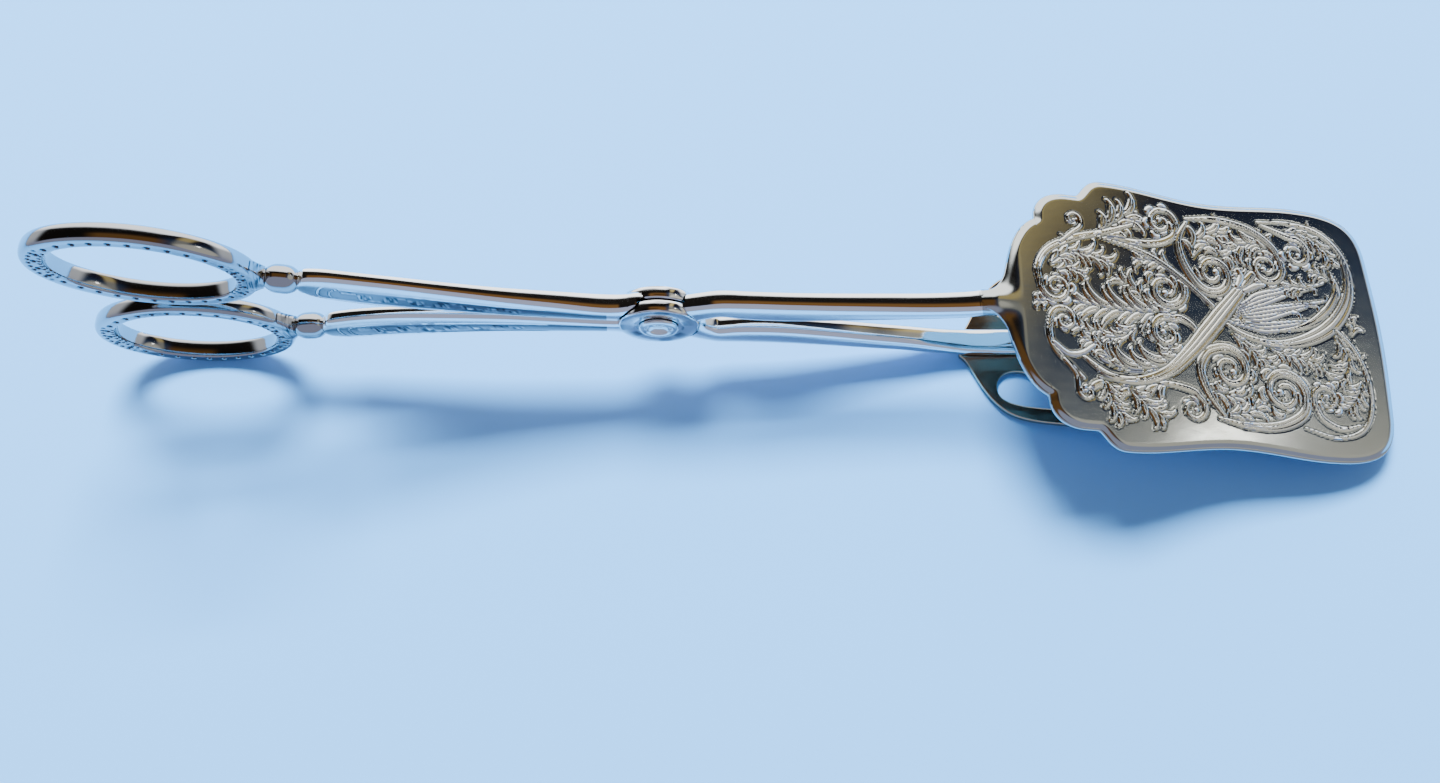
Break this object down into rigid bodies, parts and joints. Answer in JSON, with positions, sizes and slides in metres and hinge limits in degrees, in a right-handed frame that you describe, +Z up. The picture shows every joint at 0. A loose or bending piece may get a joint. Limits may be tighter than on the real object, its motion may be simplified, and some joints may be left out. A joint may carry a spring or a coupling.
{
  "type": "scissor serving tongs",
  "caption": "Silver-plated scissor-action serving tongs with oval finger rings, an engraved spade blade above and a pierced head below.",
  "frame": {"origin": "middle of the base of the bounding box, on the table the closed tongs lie on", "axes": "+X along the tongs towards the heads, +Y along the rivet, +Z up from the table"},
  "size_m": [0.236, 0.0512, 0.052],
  "materials": {
    "polished_plate": "polished silver plate, bright",
    "engraved_plate": "polished silver plate with engraving and a warm tarnish along the rims",
    "pierced_plate": "silver plate, duller, slightly tarnished",
    "rivet_metal": "plated rivet, satin from wear"
  },
  "bodies": {
    "rear_half": {"rear_arm": "polished_plate", "rear_knop": "polished_plate", "rear_finger_ring": "polished_plate", "pierced_head": "pierced_plate"},
    "front_half": {"front_arm": "polished_plate", "front_knop": "polished_plate", "front_finger_ring": "polished_plate", "solid_blade": "engraved_plate", "pivot_rivet": "rivet_metal"}
  },
  "joints": [
    {"name": "tongs_pivot", "type": "hinge", "parent": "rear_half", "child": "front_half", "pos_m": [-0.01491, 0, 0.01737], "axis": [0, -1, 0], "range_deg": [0, 40]}
  ]
}
